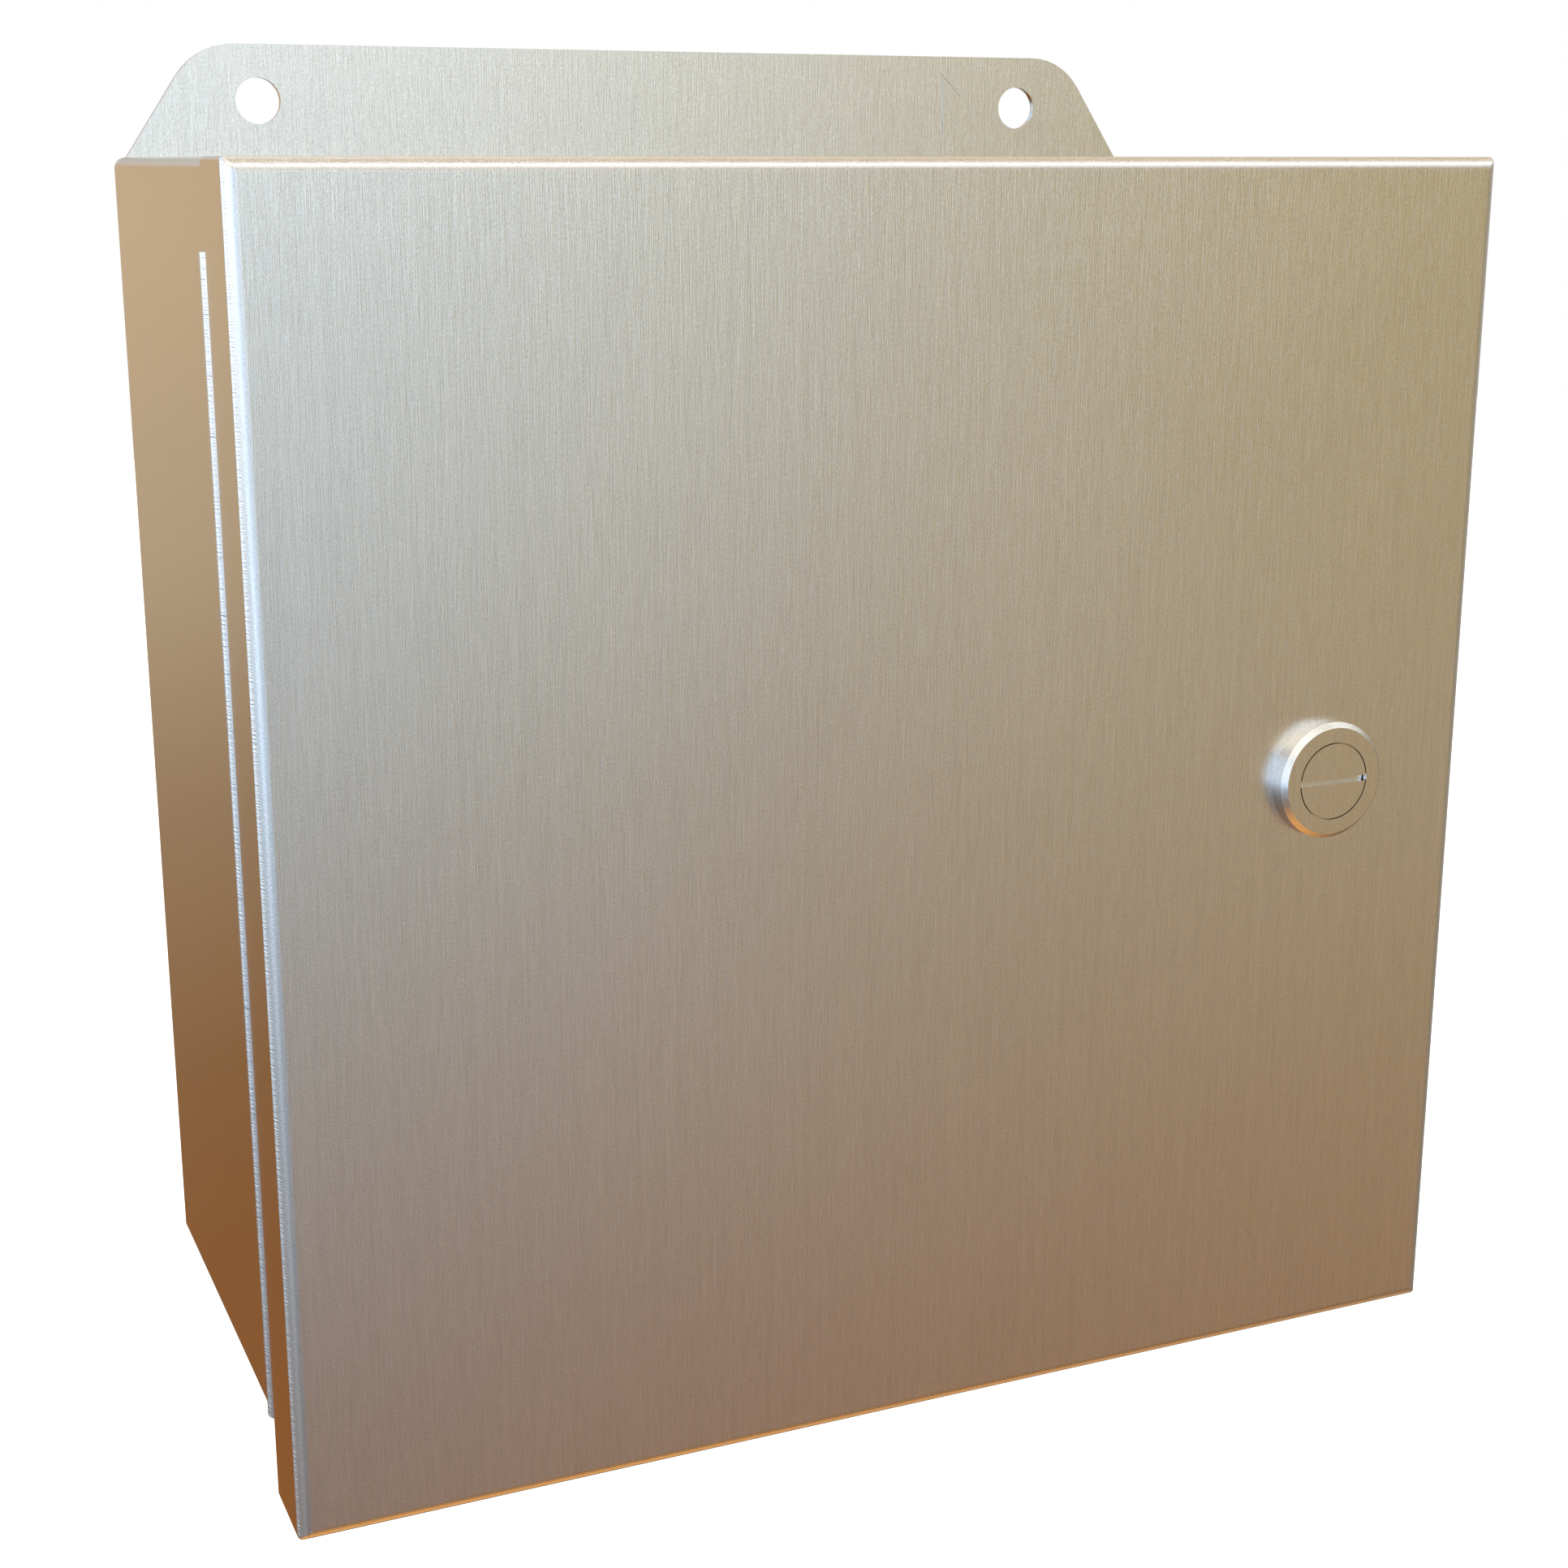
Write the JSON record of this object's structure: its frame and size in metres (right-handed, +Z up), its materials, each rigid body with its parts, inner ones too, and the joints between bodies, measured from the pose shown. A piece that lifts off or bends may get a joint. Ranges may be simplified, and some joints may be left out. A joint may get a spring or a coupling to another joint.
{
  "type": "hinged wall-mount enclosure",
  "caption": "Square stainless steel wall-mount enclosure with a continuous-hinge door, slotted quarter-turn latch, door seal, inner mounting panel and flanges pierced for wall bolts.",
  "frame": {"origin": "centre of the four wall bolt holes, on the rear face", "axes": "+X right as seen from the front, +Y into the wall, +Z up; the door faces -Y"},
  "size_m": [0.3113, 0.1826, 0.3628],
  "materials": {
    "box_steel": "brushed, number 4",
    "door_steel": "brushed up and down, number 4",
    "hinge_steel": "mill finish",
    "latch_steel": "satin",
    "zinc_steel": "clear zinc plated",
    "panel_paint": "white powder coat",
    "gasket_foam": "foamed in place",
    "seal_rubber": "moulded"
  },
  "bodies": {
    "box": {"body_wrapper": "box_steel", "back_panel": "box_steel", "hinge_box_leaf": "hinge_steel", "hinge_pin": "hinge_steel", "collar_studs": "hinge_steel", "inner_panel": "panel_paint", "panel_washers": "zinc_steel", "panel_nuts": "zinc_steel", "box_bond_stud": "hinge_steel", "box_bond_washers": "zinc_steel", "box_bond_nuts": "zinc_steel"},
    "door": {"door_panel": "door_steel", "door_gasket": "gasket_foam", "hinge_door_leaf": "hinge_steel", "latch_housing": "latch_steel", "latch_seal": "seal_rubber", "latch_washer": "zinc_steel", "latch_nut": "zinc_steel", "door_bond_stud": "hinge_steel", "door_bond_washers": "zinc_steel", "door_bond_nuts": "zinc_steel"},
    "latch": {"latch_plug": "latch_steel", "plug_o_ring": "seal_rubber", "latch_cam": "zinc_steel", "cam_washer": "zinc_steel", "cam_screw": "zinc_steel"}
  },
  "joints": [
    {"name": "door_hinge", "type": "hinge", "parent": "box", "child": "door", "pos_m": [-0.1558, -0.15075, 0], "axis": [0, 0, -1], "range_deg": [0, 180]},
    {"name": "latch_turn", "type": "hinge", "parent": "door", "child": "latch", "pos_m": [0.1104, -0.165, 0], "axis": [0, 1, 0], "range_deg": [0, 90]}
  ]
}
